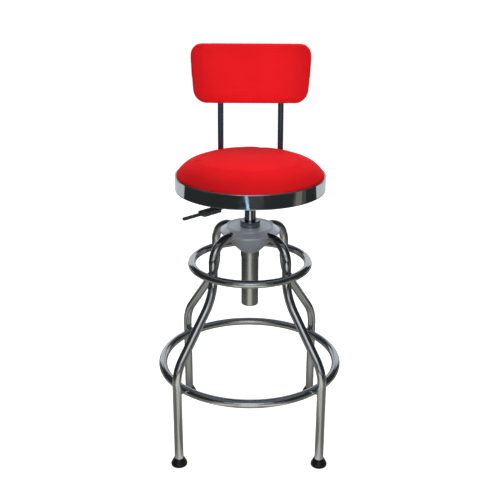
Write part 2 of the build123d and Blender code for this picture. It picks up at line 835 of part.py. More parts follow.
def make_upright(offset):
    with BuildPart() as piece:
        with BuildLine(Plane.YZ.offset(offset)):
            route = FilletPolyline(
                (upright_front, upright_height),
                (corner_back, upright_height),
                (knee_back, knee_height),
                (back_end.Y, back_end.Z),
                radius=(upright_bend, upright_back_bend),
            )
        with BuildSketch(Plane(origin=route @ 0, z_dir=route % 0)):
            Circle(upright_radius)
            Circle(upright_radius - upright_wall, mode=Mode.SUBTRACT)
        sweep()
        with Locations(*[(offset, row, upright_height) for row in upright_bolt_rows]):
            Cylinder(bolt_radius + fit_gap, 2 * upright_diameter, mode=Mode.SUBTRACT)
        with Locations(backrest_plane):
            with Locations(*[(offset, side * backrest_screw_spacing / 2, -upright_radius) for side in (-1, 1)]):
                Cylinder(back_screw_radius + fit_gap, 2 * upright_diameter, mode=Mode.SUBTRACT)
    return piece


save(make_upright(-upright_offset), "upright_left")
save(make_upright(upright_offset), "upright_right")

with BuildPart() as upright_end_caps:
    for side in (-1, 1):
        front_end = Plane(origin=(side * upright_offset, upright_front, upright_height), z_dir=(0, 1, 0))
        top_end = Plane(origin=(side * upright_offset, back_end.Y, back_end.Z), z_dir=-back_along)
        with Locations(front_end, top_end):
            Cylinder(upright_radius, plug_head, align=(Align.CENTER, Align.CENTER, Align.MAX))
            Cylinder(
                upright_radius - upright_wall - fit_gap,
                plug_length,
                align=(Align.CENTER, Align.CENTER, Align.MIN),
            )
save(upright_end_caps, "upright_end_caps")

# Saddle spacers, bolts and tee nuts that hold the uprights to the seat board
spacer_height = spacer_thickness + spacer_wrap
with BuildPart() as upright_spacers:
    with Locations(*[(x, y, board_underside) for x, y in bolt_places]):
        Box(spacer_side, spacer_side, spacer_height, align=(Align.CENTER, Align.CENTER, Align.MAX))
        Cylinder(bolt_radius + fit_gap, 2 * spacer_height, mode=Mode.SUBTRACT)
    for side in (-1, 1):
        tube_line = Plane(origin=(side * upright_offset, upright_front, upright_height), z_dir=(0, 1, 0))
        with Locations(tube_line):
            Cylinder(
                upright_radius + fit_gap,
                corner_back - upright_front,
                align=(Align.CENTER, Align.CENTER, Align.MIN),
                mode=Mode.SUBTRACT,
            )
save(upright_spacers, "upright_spacers")

bolt_seat = upright_height - upright_radius - fit_gap
bolt_length = board_top - nut_flange - bolt_seat
with BuildPart() as upright_bolts:
    with Locations(*[(x, y, bolt_seat) for x, y in bolt_places]):
        Cylinder(bolt_head / 2, bolt_head_height, align=(Align.CENTER, Align.CENTER, Align.MAX))
        Cylinder(bolt_radius, bolt_length, align=(Align.CENTER, Align.CENTER, Align.MIN))
save(upright_bolts, "upright_bolts")

with BuildPart() as upright_nuts:
    with Locations(*[(x, y, board_top) for x, y in bolt_places]):
        Cylinder(nut_flange_diameter / 2, nut_flange, align=(Align.CENTER, Align.CENTER, Align.MAX))
        Cylinder(bolt_nut_radius, nut_length, align=(Align.CENTER, Align.CENTER, Align.MAX))
        Cylinder(bolt_radius + fit_gap, 3 * nut_length, mode=Mode.SUBTRACT)
save(upright_nuts, "upright_nuts")

# Backrest: rear cover, board and crowned pad, standing in front of the uprights
cover_front = cover_thickness
back_board_front = cover_front + back_board_thickness
back_screw_places = [
    (x * upright_offset, y * backrest_screw_spacing / 2) for x in (-1, 1) for y in (-1, 1)
]
back_nut_radius = back_screw_radius + fit_gap + nut_wall


def draw_backrest(inset):
    """Draw the backrest's outline, wider at the top, with rounded corners."""
    half_top = backrest_top_width / 2 - inset
    half_bottom = backrest_bottom_width / 2 - inset
    half_height = backrest_height / 2 - inset
    Polygon(
        (-half_bottom, -half_height),
        (half_bottom, -half_height),
        (half_top, half_height),
        (-half_top, half_height),
        align=None,
    )
    fillet(vertices().group_by(Axis.Y)[0], radius=backrest_bottom_corner - inset)
    fillet(vertices().group_by(Axis.Y)[-1], radius=backrest_top_corner - inset)


with BuildPart() as backrest_cover:
    with BuildSketch(backrest_plane):
        draw_backrest(cover_inset)
    extrude(amount=cover_thickness)
    fillet(faces().sort_by(Axis(back_centre, back_facing))[0].edges(), radius=cover_edge_radius)
    with Locations(backrest_plane):
        with Locations(*back_screw_places):
            Cylinder(back_screw_radius + fit_gap, 4 * cover_thickness, mode=Mode.SUBTRACT)
save(backrest_cover, "backrest_cover")

with BuildPart() as backrest_board:
    with BuildSketch(backrest_plane.offset(cover_front)):
        draw_backrest(back_board_inset)
        with Locations(*back_screw_places):
            Circle(back_nut_radius + fit_gap, mode=Mode.SUBTRACT)
    extrude(amount=back_board_thickness)
    with BuildSketch(backrest_plane.offset(back_board_front)):
        with Locations(*back_screw_places):
            Circle(nut_flange_diameter / 2 + fit_gap)
    extrude(amount=-nut_flange, mode=Mode.SUBTRACT)
save(backrest_board, "backrest_board")

# The pad's sides draw in at the board, and its front edge rolls over into a shallow crown
pad_sections = ((0.0, back_pad_pull), (0.4, 0.0), (0.7, 1.0), (0.92, 6.0), (1.0, 16.0))
with BuildPart() as backrest_pad:
    for share, inset in pad_sections:
        with BuildSketch(backrest_plane.offset(back_board_front + share * back_pad_thickness)):
            draw_backrest(inset)
    loft()
save(backrest_pad, "backrest_pad")

with BuildPart() as backrest_screws:
    with Locations(backrest_plane.offset(tube_rear)):
        with Locations(*back_screw_places):
            Cylinder(
                back_screw_head / 2,
                back_screw_head_height,
                align=(Align.CENTER, Align.CENTER, Align.MAX),
            )
            Cylinder(
                back_screw_radius,
                back_board_front - nut_flange - tube_rear,
                align=(Align.CENTER, Align.CENTER, Align.MIN),
            )
save(backrest_screws, "backrest_screws")

with BuildPart() as backrest_nuts:
    with Locations(backrest_plane.offset(back_board_front)):
        with Locations(*back_screw_places):
            Cylinder(nut_flange_diameter / 2, nut_flange, align=(Align.CENTER, Align.CENTER, Align.MAX))
            Cylinder(back_nut_radius, nut_length, align=(Align.CENTER, Align.CENTER, Align.MAX))
            Cylinder(back_screw_radius + fit_gap, 3 * nut_length, mode=Mode.SUBTRACT)
save(backrest_nuts, "backrest_nuts")
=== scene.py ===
"""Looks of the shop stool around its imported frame: camera, light, materials, pads, welds, fasteners."""
import json
import math

import bmesh
import bpy
from mathutils import Euler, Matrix, Quaternion, Vector, noise


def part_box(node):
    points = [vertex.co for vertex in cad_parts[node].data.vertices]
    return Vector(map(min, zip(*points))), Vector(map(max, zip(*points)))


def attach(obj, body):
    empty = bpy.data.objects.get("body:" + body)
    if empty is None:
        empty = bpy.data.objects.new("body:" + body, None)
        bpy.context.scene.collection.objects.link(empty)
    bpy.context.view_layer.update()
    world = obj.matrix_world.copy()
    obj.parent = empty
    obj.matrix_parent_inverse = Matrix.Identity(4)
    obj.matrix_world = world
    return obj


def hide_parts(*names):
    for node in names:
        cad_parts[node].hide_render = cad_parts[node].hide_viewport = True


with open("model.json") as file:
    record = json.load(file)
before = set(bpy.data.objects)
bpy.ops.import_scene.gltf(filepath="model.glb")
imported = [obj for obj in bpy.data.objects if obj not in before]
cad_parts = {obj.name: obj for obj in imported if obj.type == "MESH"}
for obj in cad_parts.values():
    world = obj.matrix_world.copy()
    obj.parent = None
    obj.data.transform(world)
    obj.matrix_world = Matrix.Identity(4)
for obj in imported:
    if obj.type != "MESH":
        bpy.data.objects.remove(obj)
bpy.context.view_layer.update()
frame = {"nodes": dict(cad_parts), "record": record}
nodes = frame["nodes"]
scene = bpy.context.scene
scene.view_settings.view_transform = "Standard"

MM = 0.001
UP = Vector((0.0, 0.0, 1.0))

# Camera at the photograph's viewpoint, in degrees below level and of roll
camera_pitch = 20.52
camera_roll = 0.28
camera_data = bpy.data.cameras.new("camera")
camera_data.sensor_width = 36.0
camera_data.lens = 57.53
camera = bpy.data.objects.new("camera", camera_data)
camera.location = (0.0, -1.858, 1.202)
camera.rotation_mode = "QUATERNION"
pitch = Euler((math.radians(90.0 - camera_pitch), 0.0, 0.0)).to_quaternion()
camera.rotation_quaternion = pitch @ Quaternion(UP, math.radians(camera_roll))
scene.collection.objects.link(camera)
scene.camera = camera


class Surface:
    """A principled material whose colour, roughness and relief come from patterns in object space."""

    def __init__(self, name, **sockets):
        self.material = bpy.data.materials.new(name)
        self.material.use_nodes = True
        self.tree = self.material.node_tree
        self.shader = self.tree.nodes["Principled BSDF"]
        for socket, value in sockets.items():
            self.shader.inputs[socket.replace("_", " ")].default_value = value
        self.place = self.add("ShaderNodeTexCoord").outputs["Object"]

    def add(self, kind, sockets=None, **settings):
        node = self.tree.nodes.new(kind)
        for name, value in settings.items():
            setattr(node, name, value)
        for name, value in (sockets or {}).items():
            if isinstance(value, bpy.types.NodeSocket):
                self.tree.links.new(value, node.inputs[name])
            else:
                node.inputs[name].default_value = value
        return node

    def stretch(self, x, y, z):
        return self.add("ShaderNodeMapping", {"Vector": self.place, "Scale": (x, y, z)}).outputs["Vector"]

    def cloud(self, scale, detail=3.0, roughness=0.5, place=None):
        sockets = {"Vector": place or self.place, "Scale": scale,
                   "Detail": detail, "Roughness": roughness}
        return self.add("ShaderNodeTexNoise", sockets).outputs["Fac"]

    def cells(self, scale, smooth=0.6):
        sockets = {"Vector": self.place, "Scale": scale, "Smoothness": smooth}
        return self.add("ShaderNodeTexVoronoi", sockets, feature="SMOOTH_F1").outputs["Distance"]

    def span(self, value, low, high, start=0.3, end=0.7):
        sockets = {"Value": value, "From Min": start, "From Max": end, "To Min": low, "To Max": high}
        return self.add("ShaderNodeMapRange", sockets).outputs["Result"]

    def blend(self, value, first, second, start=0.3, end=0.7):
        ramp = self.add("ShaderNodeValToRGB", {"Fac": value})
        ramp.color_ramp.elements[0].position = start
        ramp.color_ramp.elements[0].color = (*first, 1.0)
        ramp.color_ramp.elements[1].position = end
        ramp.color_ramp.elements[1].color = (*second, 1.0)
        return ramp.outputs["Color"]

    def colour(self, socket):
        self.tree.links.new(socket, self.shader.inputs["Base Color"])

    def roughness(self, socket):
        self.tree.links.new(socket, self.shader.inputs["Roughness"])

    def relief(self, socket, depth, strength=1.0):
        bump = self.add("ShaderNodeBump", {"Height": socket, "Distance": depth, "Strength": strength})
        self.tree.links.new(bump.outputs["Normal"], self.shader.inputs["Normal"])


def plated(name, dark, light, gloss=(0.08, 0.17), ripple=0.00002):
    """Polished plate with faint smears and a very slight waviness."""
    surface = Surface(name, Metallic=1.0)
    surface.colour(surface.blend(surface.cloud(14.0, 4.0), dark, light))
    surface.roughness(surface.span(surface.cloud(38.0, 5.0, 0.6), *gloss))
    surface.relief(surface.cloud(60.0, 2.0), ripple)
    return surface.material


def drawn(name, dark, light, gloss, across=700.0, along=9.0, depth=0.000004):
    """Bare metal with fine lines along its height."""
    surface = Surface(name, Metallic=1.0)
    lines = surface.cloud(1.0, 3.0, 0.6, surface.stretch(across, across, along))
    surface.colour(surface.blend(lines, dark, light))
    surface.roughness(surface.span(lines, *gloss))
    surface.relief(lines, depth)
    return surface.material


def turned(name, dark, light, gloss):
    """Bare metal with fine lines round its axis."""
    return drawn(name, dark, light, gloss, 9.0, 1500.0)


def moulded(name, dark, light, gloss, grain=1400.0, depth=0.00003, metallic=0.0):
    """Paint, plastic or rubber with a fine grain and a little dust."""
    surface = Surface(name, Metallic=metallic)
    surface.colour(surface.blend(surface.cloud(30.0, 6.0, 0.65), dark, light))
    surface.roughness(surface.span(surface.cloud(90.0, 4.0), *gloss))
    surface.relief(surface.cloud(grain, 2.0), depth)
    return surface.material


def vinyl(name):
    """Smooth red vinyl with a fine pressed grain and slight changes of shade."""
    surface = Surface(name, Specular_IOR_Level=0.008)
    shade = surface.cloud(9.0, 3.0)
    surface.colour(surface.blend(shade, (0.735, 0.0115, 0.0155), (0.800, 0.0135, 0.0185)))
    surface.roughness(surface.span(surface.cloud(120.0, 4.0), 0.44, 0.56))
    surface.relief(surface.cells(950.0), 0.00006, 0.2)
    return surface.material


def cloth(name):
    """Black cloth with a plain weave."""
    surface = Surface(name, Sheen_Weight=0.3)
    warp = surface.cloud(1.0, 2.0, 0.5, surface.stretch(1600.0, 250.0, 250.0))
    weft = surface.cloud(1.0, 2.0, 0.5, surface.stretch(250.0, 1600.0, 250.0))
    weave = surface.add("ShaderNodeMath", {0: warp, 1: weft}, operation="MAXIMUM").outputs[0]
    surface.colour(surface.blend(weave, (0.010, 0.010, 0.011), (0.030, 0.030, 0.032)))
    surface.roughness(surface.span(weave, 0.75, 0.90))
    surface.relief(weave, 0.0001)
    return surface.material


def plywood(name):
    """Black-stained plywood with its long grain showing through."""
    surface = Surface(name)
    grain = surface.cloud(1.0, 7.0, 0.62, surface.stretch(9.0, 190.0, 190.0))
    surface.colour(surface.blend(grain, (0.016, 0.015, 0.014), (0.055, 0.049, 0.043)))
    surface.roughness(surface.span(grain, 0.60, 0.80))
    surface.relief(grain, 0.0001)
    return surface.material


red_vinyl = vinyl("red_vinyl")
chrome = plated("chrome", (0.60, 0.61, 0.62), (0.70, 0.71, 0.72))
band_chrome = plated("band_chrome", (0.62, 0.64, 0.66), (0.72, 0.74, 0.76), (0.04, 0.09), 0.00001)
dark_chrome = moulded(
    "dark_chrome", (0.036, 0.052, 0.075), (0.050, 0.070, 0.098), (0.20, 0.30), 900.0, 0.00001, 0.3)
collar_black = plated("collar_black", (0.26, 0.27, 0.30), (0.32, 0.33, 0.36), (0.05, 0.10))
satin_steel = drawn(
    "satin_steel", (0.50, 0.51, 0.505), (0.60, 0.615, 0.615), (0.22, 0.30), 260.0, 6.0, 0.0000015)
column_chrome = plated("column_chrome", (0.55, 0.57, 0.60), (0.64, 0.66, 0.70), (0.06, 0.11))
hub_grey = moulded(
    "hub_grey", (0.42, 0.46, 0.52), (0.48, 0.52, 0.58), (0.28, 0.38), 120.0, 0.000004, 0.5)
lever_black = moulded("lever_black", (0.055, 0.060, 0.068), (0.075, 0.080, 0.090), (0.22, 0.32))
plain_steel = turned("plain_steel", (0.50, 0.50, 0.51), (0.62, 0.62, 0.62), (0.22, 0.34))
aluminium = turned("aluminium", (0.62, 0.63, 0.64), (0.74, 0.75, 0.76), (0.24, 0.36))
brass = turned("brass", (0.52, 0.36, 0.12), (0.66, 0.48, 0.19), (0.22, 0.34))
black_paint = moulded("black_paint", (0.012, 0.012, 0.014), (0.022, 0.022, 0.025), (0.34, 0.46), 700.0)
black_plastic = moulded("black_plastic", (0.012, 0.012, 0.014), (0.020, 0.020, 0.023), (0.38, 0.50))
black_rubber = moulded(
    "black_rubber", (0.008, 0.008, 0.009), (0.018, 0.017, 0.016), (0.28, 0.42), 900.0)
white_nylon = moulded("white_nylon", (0.70, 0.70, 0.66), (0.78, 0.78, 0.75), (0.36, 0.46))
stained_plywood = plywood("plywood")
black_cloth = cloth("black_cloth")
weld_metal = moulded(
    "weld_metal", (0.30, 0.30, 0.31), (0.46, 0.46, 0.47), (0.22, 0.38), 600.0, 0.00008, 1.0)

slot_materials = {
    "chrome": chrome,
    "dark_chrome": dark_chrome,
    "hub_grey": hub_grey,
    "satin_steel": satin_steel,
    "plain_steel": plain_steel,
    "black_steel": black_paint,
    "aluminium": aluminium,
    "brass": brass,
    "black_rubber": black_rubber,
    "black_plastic": black_plastic,
    "white_nylon": white_nylon,
    "plywood": stained_plywood,
    "red_vinyl": red_vinyl,
}
node_materials = {
    "seat_band": band_chrome,
    "pressure_cylinder": column_chrome,
    "column_collar": collar_black,
    "lever_handle": lever_black,
}
for subpart in frame["record"]["subparts"]:
    name = subpart["node"]
    material = node_materials.get(name, slot_materials[subpart["material_slot"]])
    for slot in nodes[name].material_slots:
        slot.material = material


def turns(count):
    """Angles that divide a full turn."""
    return [2 * math.pi * i / count for i in range(count)]


def spoke(turn):
    """The level direction at an angle round the column."""
    return Vector((math.cos(turn), math.sin(turn), 0.0))


def add_mesh(name, points, faces, material, smooth=True):
    """A mesh object in the scene with one material."""
    mesh = bpy.data.meshes.new(name)
    mesh.from_pydata(points, [], faces)
    mesh.materials.append(material)
    mesh.polygons.foreach_set("use_smooth", [smooth] * len(mesh.polygons))
    piece = bpy.data.objects.new(name, mesh)
    scene.collection.objects.link(piece)
    return piece


def loft(rings, ends="flat"):
    """Points and faces of a skin over rings of equal point count, its ends flat, open or joined."""
    count = len(rings[0])
    points = [point for ring in rings for point in ring]
    faces = []
    for row in range(len(rings) if ends == "joined" else len(rings) - 1):
        for i in range(count):
            j = (i + 1) % count
            low, high = row * count, (row + 1) % len(rings) * count
            faces.append((low + i, low + j, high + j, high + i))
    if ends == "flat":
        last = (len(rings) - 1) * count
        faces.append(tuple(reversed(range(count))))
        faces.append(tuple(range(last, last + count)))
    return points, faces


def grow(piece, points, faces, material):
    """Add a further skin to a piece's mesh, with a material of its own."""
    place = piece.data.materials.find(material.name)
    if place < 0:
        piece.data.materials.append(material)
        place = len(piece.data.materials) - 1
    skin = bmesh.new()
    skin.from_mesh(piece.data)
    corners = [skin.verts.new(point) for point in points]
    for face in faces:
        made = skin.faces.new([corners[i] for i in face])
        made.smooth = True
        made.material_index = place
    skin.to_mesh(piece.data)
    skin.free()


def settle(piece):
    """Bake a piece's modifiers into its mesh."""
    depsgraph = bpy.context.evaluated_depsgraph_get()
    mesh = bpy.data.meshes.new_from_object(piece.evaluated_get(depsgraph), depsgraph=depsgraph)
    piece.modifiers.clear()
    piece.data = mesh


def relax(mesh, rounds):
    """Even out a mesh by drawing each point towards its neighbours."""
    skin = bmesh.new()
    skin.from_mesh(mesh)
    for _ in range(rounds):
        bmesh.ops.smooth_vert(
            skin, verts=skin.verts, factor=0.5, use_axis_x=True, use_axis_y=True, use_axis_z=True)
    skin.to_mesh(mesh)
    skin.free()


swell_frames = 20
swell_pressure = 4.0


def swell(pad, voxel, limit, held):
    """Blow a pad up as cloth over foam, holding every point within limit of where it began."""
    remesh = pad.modifiers.new("remesh", "REMESH")
    remesh.mode = "VOXEL"
    remesh.voxel_size = voxel
    settle(pad)
    relax(pad.data, 3)
    begin = [vertex.co.copy() for vertex in pad.data.vertices]
    group = pad.vertex_groups.new(name="held")
    group.add([i for i, point in enumerate(begin) if held(point)], 1.0, "REPLACE")
    cloth = pad.modifiers.new("cloth", "CLOTH")
    cloth.settings.quality = 6
    cloth.settings.mass = 0.3
    cloth.settings.tension_stiffness = 20.0
    cloth.settings.compression_stiffness = 20.0
    cloth.settings.bending_stiffness = 1.0
    cloth.settings.use_pressure = True
    cloth.settings.uniform_pressure_force = swell_pressure
    cloth.settings.vertex_group_mass = "held"
    cloth.settings.effector_weights.gravity = 0.0
    cloth.point_cache.frame_start = 1
    cloth.point_cache.frame_end = swell_frames
    for step in range(1, swell_frames + 1):
        scene.frame_set(step)
    settle(pad)
    scene.frame_set(1)
    for vertex, start in zip(pad.data.vertices, begin):
        move = vertex.co - start
        if move.length > limit:
            vertex.co = start + move * (limit / move.length)
    relax(pad.data, 4)
    pad.vertex_groups.clear()


def fit(pad, low, high):
    """Stretch a pad to fill a box."""
    points = [vertex.co for vertex in pad.data.vertices]
    for axis in range(3):
        first = min(point[axis] for point in points)
        last = max(point[axis] for point in points)
        for point in points:
            point[axis] = low[axis] + (point[axis] - first) * (high[axis] - low[axis]) / (last - first)


def finish_pad(pad, node):
    """One subdivision, the vinyl and the declarations of a seat or back pad."""
    subdivision = pad.modifiers.new("subdivision", "SUBSURF")
    subdivision.levels = 1
    subdivision.render_levels = 1
    settle(pad)
    pad.data.materials.clear()
    pad.data.materials.append(red_vinyl)
    pad.data.polygons.foreach_set("use_smooth", [True] * len(pad.data.polygons))
    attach(pad, "seat")
    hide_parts(node)


# Seat pad: a shallow crown that rolls down into the band
pad_low, pad_high = (Vector(corner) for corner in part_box("seat_pad"))
band_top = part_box("seat_band")[1][2]
pad_radius = (pad_high.x - pad_low.x) / 2
pad_bulge = 2.6 * MM
pad_lift = 0.6 * MM
pad_skirt = 6.0 * MM
swell_room = 1.6 * MM
crown_edge = 0.706 * pad_radius
crown_sag = 4.3 * MM
crown_top = pad_high.z - swell_room
crown_radius = (crown_edge**2 + crown_sag**2) / (2 * crown_sag)
edge_slope = math.asin(crown_edge / crown_radius)
edge_run = pad_radius - crown_edge
edge_drop = crown_top - crown_sag - band_top
edge_lever = edge_drop * math.cos(edge_slope) - edge_run * math.sin(edge_slope)
edge_radius = (edge_run**2 + edge_drop**2) / (2 * edge_lever)
edge_centre = (crown_edge - edge_radius * math.sin(edge_slope),
               crown_top - crown_sag - edge_radius * math.cos(edge_slope))
edge_end = math.atan2(pad_radius - edge_centre[0], band_top - edge_centre[1])
edge_steps = 14
crown_steps = 12
seat_profile = [(pad_radius, pad_low.z), (pad_radius, band_top - pad_skirt)]
for step in range(edge_steps + 1):
    turn = edge_end + (edge_slope - edge_end) * step / edge_steps
    seat_profile.append((edge_centre[0] + edge_radius * math.sin(turn),
                         edge_centre[1] + edge_radius * math.cos(turn)))
for step in range(1, crown_steps):
    turn = edge_slope * (1 - step / crown_steps)
    seat_profile.append((crown_radius * math.sin(turn), crown_top - crown_radius * (1 - math.cos(turn))))
seat_rings = []
for radius, height in seat_profile:
    seat_rings.append([(radius * math.cos(t), radius * math.sin(t), height) for t in turns(160)])
seat_cushion = add_mesh("seat_cushion", *loft(seat_rings), red_vinyl)


def in_band(point):
    return point.z < band_top + 1 * MM


swell(seat_cushion, 4.5 * MM, 2.2 * MM, in_band)
pad_room = Vector((pad_bulge, pad_bulge, 0.0))
fit(seat_cushion, pad_low - pad_room, pad_high + pad_room + UP * pad_lift)
tuck = 4.0 * MM
pull_height = 16.0 * MM
pull_share = 0.003
for vertex in seat_cushion.data.vertices:
    reach = math.hypot(vertex.co.x, vertex.co.y)
    depth = vertex.co.z - band_top
    if reach > 0.5 * pad_radius and depth < pull_height:
        turn = math.atan2(vertex.co.y, vertex.co.x)
        pull = noise.noise(spoke(turn) * 9 + UP * 0.4)
        fade = 1 - max(depth, 0.0) / pull_height
        limit = pad_radius + pad_bulge * min(max(depth / tuck, 0.0), 1.0)
        share = min(1 + pull_share * pull * fade, limit / reach)
        vertex.co.x *= share
        vertex.co.y *= share
finish_pad(seat_cushion, "seat_pad")

# Black cloth hem of the seat cover: pleated under the board, stapled, and notched round each upright
hem_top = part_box("seat_board")[0][2] - 0.1 * MM
hem_reach = 169.3 * MM
hem_width = 19.0 * MM
hem_ragged = 2.5 * MM
hem_least = 2.0 * MM
hem_thickness = 0.8 * MM
pleat_rise = 0.35 * MM
pleat_count = 45
upright_turns = (60.0, 120.0)


def near_upright(turn, spread):
    """1 at an upright's outer bolt, falling to 0 at spread degrees from it."""
    away = min(abs(math.degrees(turn) % 360 - place) for place in upright_turns)
    return min(max((spread - away) / 2.0, 0.0), 1.0)


hem_rings = []
for turn in turns(360):
    outward = spoke(turn)
    ragged = noise.noise(outward * 6 + UP * 2.1)
    pleat = pleat_rise * max(math.sin(pleat_count * turn + 3 * ragged), 0.0) ** 3
    width = (hem_width + hem_ragged * ragged) * (1 - near_upright(turn, 8.0)) + hem_least
    hem_section = ((0.0, 0.0), (0.0, hem_thickness), (0.4 * width, hem_thickness + pleat),
                   (0.9 * width, hem_thickness), (width, 0.0))
    hem_rings.append([outward * (hem_reach - inward) + UP * (hem_top - down)
                      for inward, down in hem_section])
grow(seat_cushion, *loft(hem_rings, "joined"), black_cloth)


def wire(path, radius, sides=8):
    """Points and faces of a round wire along a path."""
    side = (path[1] - path[0]).orthogonal()
    rings = []
    for i, centre in enumerate(path):
        along = (path[min(i + 1, len(path) - 1)] - path[max(i - 1, 0)]).normalized()
        side = (side - along * side.dot(along)).normalized()
        other = along.cross(side)
        rings.append([centre + (side * math.cos(t) + other * math.sin(t)) * radius for t in turns(sides)])
    return loft(rings)


def gather(name, shapes, material):
    """One piece made of several shapes."""
    points = []
    faces = []
    for shape_points, shape_faces in shapes:
        start = len(points)
        points.extend(shape_points)
        faces.extend(tuple(start + i for i in face) for face in shape_faces)
    return add_mesh(name, points, faces, material)


staple_count = 40
staple_half = 5.0 * MM
staple_bend = 0.8 * MM
staple_leg = 1.2 * MM
staple_bow = 0.3 * MM
staple_inset = 9.0 * MM
staple_drop = 1.35 * MM
staple_wire = 0.5 * MM
staple_shapes = []
for i in range(staple_count):
    turn = 2 * math.pi * (i + 0.5) / staple_count
    if near_upright(turn, 11.0) > 0:
        continue
    outward = spoke(turn)
    slant = 0.5 * noise.noise(Vector((5 * i, 0.7, 0.2)))
    along = Vector((-outward.y, outward.x, 0.0)) + outward * slant
    along.normalize()
    centre = outward * (hem_reach - staple_inset) + UP * (hem_top - staple_drop)
    path = [centre - along * staple_half + UP * staple_leg,
            centre - along * staple_half,
            centre - along * (staple_half - staple_bend) - UP * staple_bow,
            centre + along * (staple_half - staple_bend) - UP * staple_bow,
            centre + along * staple_half,
            centre + along * staple_half + UP * staple_leg]
    staple_shapes.append(wire(path, staple_wire))
staples = gather("seat_cover_staples", staple_shapes, plain_steel)
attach(staples, "seat")

# Rolled rims along the band's upper and lower edges
band_low, band_high = (Vector(corner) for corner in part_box("seat_band"))
rim_radius = 1.4 * MM
rim_proud = 0.3 * MM
rim_reach = band_high.x - rim_radius + rim_proud
rim_inset = rim_radius - rim_proud
for name, height in (("upper", band_high.z - rim_inset), ("lower", band_low.z + rim_inset)):
    rim_rings = []
    for turn in turns(240):
        outward = spoke(turn)
        centre = outward * rim_reach + UP * height
        rim_rings.append([centre + (outward * math.cos(t) + UP * math.sin(t)) * rim_radius
                          for t in turns(16)])
    rim = add_mesh(f"seat_band_{name}_rim", *loft(rim_rings, "joined"), band_chrome)
    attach(rim, "seat")

# Backrest pad: rolled edges and a nearly flat face, wrapped over the board
back_lean = math.radians(8.0)
back_origin = Vector((0.0, 215.25, 907.55)) * MM
back_right = Vector((1.0, 0.0, 0.0))
back_front = Vector((0.0, -math.cos(back_lean), math.sin(back_lean)))
back_up = back_front.cross(back_right)
back_board_front = 14.5 * MM
back_pad_thickness = 22.5 * MM
back_top_width = 309.5 * MM
back_bottom_width = 287.0 * MM
back_height = 148.0 * MM
back_top_corner = 30.0 * MM
back_bottom_corner = 35.0 * MM


def back_point(x, y, z):
    return back_origin + back_right * x + back_up * y + back_front * z


def rounded(corners, count=18):
    """Points round a polygon, counterclockwise, with each corner rounded to its radius."""
    outline = []
    for i, (corner, radius) in enumerate(corners):
        to_last = (corners[i - 1][0] - corner).normalized()
        to_next = (corners[(i + 1) % len(corners)][0] - corner).normalized()
        half = to_last.angle(to_next) / 2
        centre = corner + (to_last + to_next).normalized() * (radius / math.sin(half))
        arm = corner + to_last * (radius / math.tan(half)) - centre
        first = math.atan2(arm.y, arm.x)
        for step in range(count + 1):
            turn = first + (math.pi - 2 * half) * step / count
            outline.append((centre.x + radius * math.cos(turn), centre.y + radius * math.sin(turn)))
    return outline


def back_outline(inset):
    """Points round the backrest's outline, drawn in by inset."""
    half_height = back_height / 2 - inset
    half_top = back_top_width / 2 - inset
    half_bottom = back_bottom_width / 2 - inset
    return rounded((
        (Vector((half_top, half_height)), back_top_corner - inset),
        (Vector((-half_top, half_height)), back_top_corner - inset),
        (Vector((-half_bottom, -half_height)), back_bottom_corner - inset),
        (Vector((half_bottom, -half_height)), back_bottom_corner - inset),
    ))


# Share of the pad's thickness, and how far the outline is drawn in there in millimetres
back_sections = ((0.0, 3.0), (0.2, 1.0), (0.4, 0.4), (0.6, 0.8), (0.75, 2.2), (0.87, 5.0), (0.95, 9.5),
                 (0.99, 16.0))
back_rings = []
for share, inset in back_sections:
    depth = back_board_front + share * (back_pad_thickness - swell_room)
    back_rings.append([back_point(x, y, depth) for x, y in back_outline(inset * MM)])
back_cushion = add_mesh("backrest_cushion", *loft(back_rings), red_vinyl)


def on_board(point):
    return (point - back_origin).dot(back_front) < back_board_front + 3 * MM


swell(back_cushion, 4.0 * MM, 2.4 * MM, on_board)
fit(back_cushion, *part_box("backrest_pad"))
finish_pad(back_cushion, "backrest_pad")

# The cover's sides, drawn back over the edge of the board: inset and depth in millimetres
wrap_section = ((4.8, 2.7), (2.2, 2.3), (1.3, 3.8), (1.0, 8.0), (1.1, 13.0), (1.8, 17.5), (4.8, 17.5))
wrap_rings = [[back_point(x, y, depth * MM) for x, y in back_outline(inset * MM)]
              for inset, depth in wrap_section]
grow(back_cushion, *loft(wrap_rings, "joined"), red_vinyl)


def cross_head(radius, rise):
    """Points and faces of a domed head with a tapered cross recess, standing on the origin."""
    dome_rings = []
    for row in range(9):
        lift = 0.5 * math.pi * row / 9
        reach = radius * math.cos(lift)
        height = rise * (0.25 + 0.75 * math.sin(lift))
        dome_rings.append([(reach * math.cos(t), reach * math.sin(t), height) for t in turns(48)])
    foot = [(x, y, 0.0) for x, y, _ in dome_rings[0]]
    head = add_mesh("head", *loft([foot] + dome_rings), plain_steel)
    cut_rings = []
    for depth, scale in ((0.25 * rise, 0.62), (1.2 * rise, 1.0)):
        long, short = 0.56 * radius * scale, 0.13 * radius * scale
        corners = [(long, -short), (long, short), (short, short),
                   (short, long), (-short, long), (-short, short)]
        corners += [(-x, -y) for x, y in corners]
        cut_rings.append([(x, y, depth) for x, y in corners])
    cutter = add_mesh("cutter", *loft(cut_rings), plain_steel)
    cut = head.modifiers.new("cut", "BOOLEAN")
    cut.operation = "DIFFERENCE"
    cut.solver = "EXACT"
    cut.object = cutter
    settle(head)
    points = [vertex.co.copy() for vertex in head.data.vertices]
    faces = [tuple(face.vertices) for face in head.data.polygons]
    bpy.data.objects.remove(cutter)
    bpy.data.objects.remove(head)
    return points, faces


